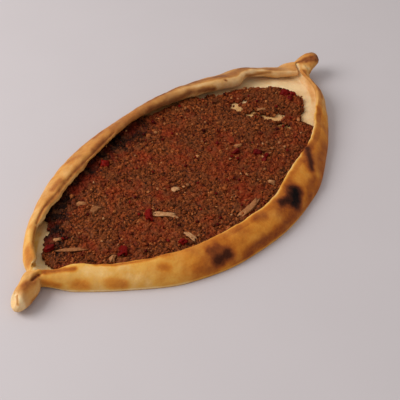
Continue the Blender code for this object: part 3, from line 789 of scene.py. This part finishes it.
def meat_material():
    """Browned mince: crumbs of their own tones with painted shade, and some zones redder or greyer.
    """
    looks = Looks("browned_mince")
    colour = looks.ramp(looks.varied(looks.attribute("tone"), (1.0, 1.0)), MEAT_COLOURS)
    for size, detail, most, start, full, zone_colour in MEAT_ZONES:
        zone = looks.mapped(looks.noise(size, detail), 0.0, most, start, full)
        colour = looks.mix(zone, colour, paint(zone_colour))
    rough = looks.varied(looks.mapped(looks.noise(3.0), *MEAT_ROUGHNESS), (0.2, 0.8))
    return looks.finish(colour, rough, (0.25, 0.7))


def bit_material(name, stops, roughness):
    """Pepper, onion or spice: its own range of colours and fine relief."""
    looks = Looks(name)
    tone = looks.varied(looks.attribute("tone"), (0.7, 1.6))
    rough = looks.mapped(looks.noise(2.0), roughness, roughness + 0.2)
    return looks.finish(looks.ramp(tone, stops), looks.varied(rough, (0.15, 0.7)), (0.2, 0.9))


def floor_material():
    looks = Looks("floor_pale")
    colour = looks.mix(looks.noise(60.0), *map(paint, FLOOR_COLOURS))
    looks.fill(looks.shader, {"Base Color": colour, "Roughness": FLOOR_ROUGHNESS})
    return looks.material


# ---- meshes

def mesh_object(name, points, faces, material):
    """A named, smooth mesh object from millimetre points, in the frame."""
    points = (np.asarray(points) - (*MIDDLE, 0)) * MM
    mesh = bpy.data.meshes.new(name)
    mesh.from_pydata(points.tolist(), [], faces)
    mesh.shade_smooth()
    mesh.materials.append(material)
    made = bpy.data.objects.new(name, mesh)
    bpy.context.scene.collection.objects.link(made)
    return made


def add_attribute(made, name, values):
    layer = made.data.attributes.new(name, "FLOAT", "POINT")
    layer.data.foreach_set("value", np.asarray(values, np.float32).ravel())


def tube_faces(rows, count):
    """The faces of a closed tube of rings, with the two points after them closing its ends."""
    index = np.arange(rows * count).reshape(rows, count)
    after = np.roll(index, -1, axis=1)
    sides = np.stack([index[:-1], after[:-1], after[1:], index[1:]], -1).reshape(-1, 4)
    ends = [np.column_stack([after[0], index[0], np.full(count, rows * count)]),
            np.column_stack([index[-1], after[-1], np.full(count, rows * count + 1)])]
    return sides.tolist() + np.concatenate(ends).tolist()


def make_crust():
    grid, left_end, right_end = crust_grid()
    bake, tan = bake_field(grid), tan_field(grid)
    grid = uneven(grid)
    rows, count = grid.shape[:2]
    points = np.concatenate([grid.reshape(-1, 3), [left_end, right_end]])
    made = mesh_object("crust", points, tube_faces(rows, count), dough_material())
    for name, field in (("bake", bake), ("tan", tan)):
        add_attribute(made, name, [*field.ravel(), field[0].mean(), field[-1].mean()])
    return made


# ---- the mince

def clear_of(wall_points):
    """How near the mince may come to a wall: clear of its inner face at the height of the mince."""
    inner = wall_points[2]
    low = inner[inner[:, 1] <= MINCE_TOP]
    above = inner[inner[:, 1] > MINCE_BOTTOM]
    reach = max(low[:, 0].max(where=low[:, 1] >= MINCE_BOTTOM, initial=-np.inf), above[-1, 0])
    return reach + GAP + WALL_CLEARANCE


def outline():
    """The mince's outline: places along x, its near and far edge there, and which are free."""
    places = np.linspace(MINCE_LEFT_NEAR[0][0], MINCE_FAR_END[-1][0] - 0.2, OUTLINE_STEPS)
    rows = []
    for x in places:
        near_wall, far_wall = walls(float(x))
        row = [clear_of(near_wall), -clear_of(far_wall), 0.0, 0.0]
        for side, inner, lines in ((0, max, (MINCE_LEFT_NEAR, MINCE_NEAR_END)),
                                   (1, min, (MINCE_LEFT_FAR, MINCE_FAR_END))):
            limit = row[side]
            ragged = FREE_EDGE_NOISE * noise.noise((x / FREE_EDGE_WAVE, 1.5 + 7 * side, 0))
            for points in lines:
                y = curve(points, x)
                if points[0][0] <= x <= points[-1][0] and inner(y, limit) != limit:
                    row[side], row[side + 2] = inner(limit, y + ragged), 1.0
        if row[1] < row[0] + TIP_WIDTH:
            middle = (row[0] + row[1]) / 2
            row[:2] = middle - TIP_WIDTH / 2, middle + TIP_WIDTH / 2
        rows.append(row)
    near, far, near_free, far_free = np.transpose(rows)
    return places, near, far, near_free > 0, far_free > 0


def turned(x, y, degrees):
    """The same places along and across a direction."""
    turn = math.radians(degrees)
    return x * math.cos(turn) + y * math.sin(turn), y * math.cos(turn) - x * math.sin(turn)


def patch_level(x, y):
    """Below 1 on a patch of bare dough, above 1 off them all."""
    level = np.full(x.shape, np.inf)
    ragged = plane_noise(x, y, PATCH_NOISE)
    for centre_x, centre_y, half_length, half_width, direction in BARE_PATCHES:
        along, across = turned(x - centre_x, y - centre_y, direction)
        level = np.minimum(level, np.hypot(along / half_length, across / half_width) + ragged)
    return level


class Mince:
    """The layer of mince: where it lies and how high its top is."""

    def __init__(self):
        self.places, self.near, self.far, near_free, far_free = outline()
        left = np.linspace(self.near[0], self.far[0], LEFT_EDGE_STEPS)
        self.free_edge = np.concatenate([
            np.column_stack([self.places[near_free], self.near[near_free]]),
            np.column_stack([self.places[far_free], self.far[far_free]]),
            np.column_stack([np.full(LEFT_EDGE_STEPS, self.places[0]), left])])

    def edges(self, x):
        return np.interp(x, self.places, self.near), np.interp(x, self.places, self.far)

    def within(self, x, y, margin):
        near, far = self.edges(x)
        inside = (y > near + margin) & (y < far - margin)
        return inside & (x > self.places[0] + margin) & (x < self.places[-1] - margin)

    def inward(self, x, y):
        """How far each place is in from the free edges and bare patches, below 0 outside."""
        lobes = FREE_EDGE_LOBES * (LOBE_LEVEL + plane_noise(x, y, LOBE_NOISE))
        gap = np.full(x.shape, np.inf)
        for edge_x, edge_y in self.free_edge[::2]:
            gap = np.minimum(gap, np.hypot(x - edge_x, y - edge_y))
        return np.minimum(gap - lobes, PATCH_SCALE * (patch_level(x, y) - 1))

    def top(self, x, y):
        """The height of the core's top."""
        full = smooth(self.inward(x, y) / EDGE_SLOPE)
        thick = EDGE_THICKNESS + (CORE_THICKNESS - EDGE_THICKNESS) * full
        return MINCE_BOTTOM + thick + plane_noise(x, y, TOP_NOISE) * (0.2 + 0.8 * full)


def rim_shadow(mince, x, y):
    """How much the rim's painted shadow, 0 to 1, darkens the mince by the far rim's left half."""
    from_rim = mince.edges(x)[1] - y
    return rising(from_rim, RIM_SHADOW_BAND, 0) * rising(x, 25, -5) * rising(x, -112, -102)


def crumb_cells(x, y, pitch, direction, seed):
    """Packed crumbs about one pitch across: at each place, how far in from its crumb's edge it is,
    0 to 1, and the crumb's own random number."""
    chance = np.random.default_rng(seed)
    x, y = turned(x, y, direction)
    wide = int(CRUMB_FIELD / pitch) + 4
    shift, own = chance.random((wide, wide, 2)), chance.random((wide, wide))
    i, j = (((v + CRUMB_FIELD / 2) / pitch + 1).astype(int) for v in (x, y))
    first, second = np.full(x.shape, np.inf), np.full(x.shape, np.inf)
    number = np.zeros(x.shape)
    for di, dj in np.ndindex(3, 3):
        at = np.clip(i + di - 1, 0, wide - 1), np.clip(j + dj - 1, 0, wide - 1)
        centre_x = (i + di - 2 + shift[at][..., 0]) * pitch - CRUMB_FIELD / 2
        centre_y = (j + dj - 2 + shift[at][..., 1]) * pitch - CRUMB_FIELD / 2
        away = np.hypot(x - centre_x, y - centre_y) / pitch
        closer = away < first
        second = np.where(closer, first, np.minimum(second, away))
        number = np.where(closer, own[at], number)
        first = np.minimum(first, away)
    return smooth((second - first) / CRUMB_GAP), number


def drop_corner_contacts(cells):
    """Removes cells that meet others at one corner only."""
    while True:
        a, b, c, d = cells[:-1, :-1], cells[1:, :-1], cells[:-1, 1:], cells[1:, 1:]
        crossed = (a & d & ~b & ~c) | (b & c & ~a & ~d)
        if not crossed.any():
            return
        i, j = np.argwhere(crossed)[0]
        cells[i:i + 2, j:j + 2] = False


def sheet_mesh(top, bottom, cells):
    """A sheet's top and its sides, with holes where cells are left out: its points and faces, and
    which points of the two grids they are."""
    rows, columns = top.shape[:2]
    index = np.arange(rows * columns).reshape(rows, columns)
    under = index + rows * columns
    faces = []
    for i, j in np.argwhere(cells):
        corners = ((i, j), (i + 1, j), (i + 1, j + 1), (i, j + 1))
        faces.append(tuple(index[c] for c in corners))
        beside = ((i, j - 1), (i + 1, j), (i, j + 1), (i - 1, j))
        for k, (m, n) in enumerate(beside):
            if 0 <= m < rows - 1 and 0 <= n < columns - 1 and cells[m, n]:
                continue
            a, b = corners[k], corners[(k + 1) % 4]
            faces.append((index[b], index[a], under[a], under[b]))
    points = np.concatenate([top.reshape(-1, 3), bottom.reshape(-1, 3)])
    used = np.unique(faces)
    renumber = np.zeros(len(points), int)
    renumber[used] = np.arange(len(used))
    return points[used], renumber[np.array(faces)].tolist(), used


def close_underside(made):
    """Fills the flat underside between the lower edges of the sides."""
    mesh = bmesh.new()
    mesh.from_mesh(made.data)
    open_edges = [e for e in mesh.edges if len(e.link_faces) == 1]
    bmesh.ops.triangle_fill(mesh, edges=open_edges, normal=(0, 0, -1))
    bmesh.ops.recalc_face_normals(mesh, faces=mesh.faces)
    mesh.to_mesh(made.data)
    mesh.free()


def make_core(mince, material):
    """The layer under the loose crumbs: a closed sheet, its top all packed crumbs."""
    x = np.linspace(mince.places[0], mince.places[-1], CORE_CELLS[0] + 1)
    near, far = mince.edges(x)
    share = np.linspace(0, 1, CORE_CELLS[1] + 1)
    x = np.repeat(x[:, None], len(share), 1)
    y = near[:, None] + (far - near)[:, None] * share
    height, tone = mince.top(x, y), np.zeros(x.shape)
    bent_x, bent_y = x + plane_noise(x, y, BEND_NOISE[:1]), y + plane_noise(x, y, BEND_NOISE[1:])
    for pitch, rise, strength, direction, seed in CRUMB_LAYERS:
        inward, number = crumb_cells(bent_x, bent_y, pitch, direction, seed)
        height = height + rise * (inward * (0.5 + 0.5 * number) - 0.4)
        # Less tone towards each crumb's edge: painted shade in the gaps between crumbs, and each
        # crumb's own tone
        tone = tone + strength * (inward * (0.35 + 0.65 * number))
    # Painted shadow of the far rim on the mince
    tone -= RIM_SHADOW_TONE * rim_shadow(mince, x, y)
    top = np.stack([x, y, np.maximum(height, MINCE_BOTTOM + LEAST_THICKNESS)], -1)
    bottom = np.stack([x, y, np.full(x.shape, MINCE_BOTTOM)], -1)
    middle = (top[:-1, :-1] + top[1:, 1:]) / 2
    cells = mince.inward(middle[..., 0], middle[..., 1]) > 0
    drop_corner_contacts(cells)
    points, faces, used = sheet_mesh(top, bottom, cells)
    made = mesh_object("mince_core", points, faces, material)
    add_attribute(made, "tone", np.concatenate([tone.ravel(), tone.ravel()])[used])
    close_underside(made)
    return made


def lump_template(subdivisions):
    """The points and faces of a ball of triangles."""
    ball = bmesh.new()
    bmesh.ops.create_icosphere(ball, subdivisions=subdivisions, radius=1.0)
    points = np.array([v.co for v in ball.verts])
    faces = np.array([[v.index for v in f.verts] for f in ball.faces])
    ball.free()
    return points, faces


def random_turns(chance, count):
    """As many random rotations, as matrices."""
    a, b, c, d = chance.normal(size=(4, count))
    length = np.sqrt(a * a + b * b + c * c + d * d)
    a, b, c, d = a / length, b / length, c / length, d / length
    rows = ((1 - 2 * (c * c + d * d), 2 * (b * c - a * d), 2 * (b * d + a * c)),
            (2 * (b * c + a * d), 1 - 2 * (b * b + d * d), 2 * (c * d - a * b)),
            (2 * (b * d - a * c), 2 * (c * d + a * b), 1 - 2 * (b * b + c * c)))
    return np.moveaxis(np.array(rows), 2, 0)


def make_lumps(name, centres, sizes, tones, subdivisions, chance, material):
    """Many small uneven lumps in one mesh, each with a tone of its own."""
    ball, ball_faces = lump_template(subdivisions)
    count = len(centres)
    own = ball * LUMP_DETAIL + chance.uniform(0, 90, (count, 1, 3))
    local = ball * (1 + LUMP_ROUGHNESS * noise_field(own, 1.0, 0)[..., None])
    local = local * chance.uniform(*LUMP_STRETCH, (count, 1, 3))
    local = np.einsum("nij,nkj->nki", random_turns(chance, count), local)
    local[..., 2] *= LUMP_FLATNESS
    points = centres[:, None] + local * (sizes / 2)[:, None, None]
    points[..., 2] = np.maximum(points[..., 2], MINCE_BOTTOM - LUMP_DEPTH)
    offsets = (np.arange(count) * len(ball))[:, None, None]
    faces = (ball_faces[None] + offsets).reshape(-1, 3)
    made = mesh_object(name, points.reshape(-1, 3), faces.tolist(), material)
    add_attribute(made, "tone", np.repeat(tones, len(ball)))
    return made


def scattered(mince, chance, pitch, margin, share=1.0):
    """Places on the mince, about one pitch apart, few of them on its bare patches."""
    places, half_width = mince.places, max(-mince.near.min(), mince.far.max())
    x, y = np.meshgrid(np.arange(places[0], places[-1], pitch),
                       np.arange(-half_width, half_width, pitch))
    x = x.ravel() + chance.uniform(-0.5, 0.5, x.size) * pitch
    y = y.ravel() + chance.uniform(-0.5, 0.5, y.size) * pitch
    kept = mince.within(x, y, margin) & (chance.random(x.size) < share)
    kept &= (mince.inward(x, y) > 0) | (chance.random(x.size) < STRAY_SHARE)
    return x[kept], y[kept]


def make_crumbs(mince, name, pitch, sizes, chance, material):
    x, y = scattered(mince, chance, pitch, sizes[0] / 2)
    size = sizes[0] + (sizes[1] - sizes[0]) * chance.random(len(x)) ** CRUMB_SIZE_POWER
    height = mince.top(x, y) + size * chance.uniform(*CRUMB_RISE, len(x))
    height = np.where(mince.inward(x, y) < 0, FLOOR_THICKNESS + STRAY_HEIGHT * size, height)
    tones = chance.normal(CRUMB_TONE, CRUMB_TONE_SPREAD, len(x)) + plane_noise(x, y, CLUMP_NOISE)
    # Painted shadow of the far rim on the crumbs
    tones = np.clip(tones - RIM_SHADOW_TONE * rim_shadow(mince, x, y), LEAST_TONE, 1)
    return make_lumps(name, np.column_stack([x, y, height]), size, tones, 2, chance, material)


def make_specks(mince, name, share, sizes, chance, material):
    """Small bits of one kind, scattered over the mince."""
    x, y = scattered(mince, chance, SPECK_PITCH, sizes[1] / 2, share)
    size = chance.uniform(*sizes, len(x))
    centres = np.column_stack([x, y, mince.top(x, y) + SPECK_RISE * size + SPECK_RISE])
    tones = chance.uniform(*SPECK_TONES, len(x))
    return make_lumps(name, centres, size, tones, 1, chance, material)


def slab_points(length, width, thickness, direction, chance):
    """One cut piece of vegetable: a slab with round edges, bent, tilted and uneven."""
    ball, faces = lump_template(3)
    ball = np.sign(ball) * np.abs(ball) ** SLAB_EDGE
    ball = ball * (1 + SLAB_ROUGHNESS * noise_field(ball + chance.uniform(0, 50), 0.7, 16)[:, None])
    bend, curl = chance.uniform(*SLAB_BEND), chance.uniform(*SLAB_CURL)
    local = ball * (length / 2, width / 2, thickness / 2)
    local[:, 1] += bend * width * (ball[:, 0] ** 2 - 0.4)
    local[:, 2] -= curl * thickness * ball[:, 0] ** 2
    turn = Matrix.Rotation(math.radians(direction), 3, "Z")
    tilt_x, tilt_y = (Matrix.Rotation(chance.uniform(-most, most), 3, axis)
                      for axis, most in SLAB_TILT.items())
    return local @ np.array(turn @ (tilt_x @ tilt_y)).T, faces


def make_slabs(mince, name, bits, thickness, chance, material):
    """The larger pieces of pepper or onion, in one mesh."""
    points, faces, tones = [], [], []
    for x, y, length, width, direction in bits:
        local, triangles = slab_points(length, width, thickness, direction, chance)
        height = float(mince.top(np.array([x]), np.array([y]))[0])
        faces += (triangles + sum(map(len, points))).tolist()
        points.append(local + (x, y, height + SLAB_RISE))
        tones.append(np.full(len(local), chance.uniform(*SLAB_TONES)))
    made = mesh_object(name, np.concatenate(points), faces, material)
    add_attribute(made, "tone", np.concatenate(tones))
    return made


def make_mince():
    """Every piece of the filling, the core first."""
    mince = Mince()
    chance = np.random.default_rng(SEED)
    meat = meat_material()
    bits = {name: bit_material(name, *looks) for name, looks in BIT_LOOKS.items()}
    pieces = [make_core(mince, meat)]
    pieces += [make_crumbs(mince, *crumbs, chance, meat) for crumbs in CRUMBS]
    pieces += [make_slabs(mince, *slabs, chance, bits[kind]) for *slabs, kind in SLABS]
    pieces += [make_specks(mince, *specks, chance, bits[kind]) for *specks, kind in SPECKS]
    return pieces


# ---- the stage

def aimed(name, data, place, aim):
    """The camera or the lamp in its place, looking along aim."""
    made = bpy.data.objects.new(name, data)
    bpy.context.scene.collection.objects.link(made)
    made.location = place
    made.rotation_euler = aim.to_track_quat("-Z", "Y").to_euler()
    return made


def set_stage():
    """The plain pale floor, the soft light and the camera."""
    scene = bpy.context.scene
    corners = np.array([(-1, -1, 0), (1, -1, 0), (1, 1, 0), (-1, 1, 0)]) * FLOOR_HALF
    floor = mesh_object("floor", corners, [(0, 1, 2, 3)], floor_material())

    camera = bpy.data.cameras.new("camera")
    camera.lens, camera.sensor_width = LENS, SENSOR
    heading, tilt = math.radians(CAMERA_HEADING), math.radians(CAMERA_TILT)
    level = math.cos(tilt)
    aim = Vector((math.cos(heading) * level, math.sin(heading) * level, -math.sin(tilt)))
    scene.camera = aimed("camera", camera, CAMERA_PLACE, aim)

    world = bpy.data.worlds.new("world")
    world.use_nodes = True
    sky = world.node_tree.nodes["Background"]
    sky.inputs["Color"].default_value = SKY_COLOUR
    sky.inputs["Strength"].default_value = SKY_STRENGTH
    scene.world = world
    key = bpy.data.lights.new("key", "AREA")
    key.energy, key.size = KEY_ENERGY, KEY_SIZE
    aimed("key", key, KEY_PLACE, -Vector(KEY_PLACE))
    scene.view_settings.view_transform = "Standard"


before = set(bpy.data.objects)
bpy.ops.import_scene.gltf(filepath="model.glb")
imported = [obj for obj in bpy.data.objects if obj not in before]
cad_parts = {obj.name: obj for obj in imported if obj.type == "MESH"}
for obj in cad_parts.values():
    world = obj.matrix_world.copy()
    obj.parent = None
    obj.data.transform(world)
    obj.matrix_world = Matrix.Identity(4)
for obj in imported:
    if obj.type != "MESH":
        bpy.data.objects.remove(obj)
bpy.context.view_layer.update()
crust = make_crust()
core, *others = make_mince()
for piece in (crust, core, *others):
    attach(piece, "root")
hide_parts("dough_crust")
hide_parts("mince_filling")
set_stage()
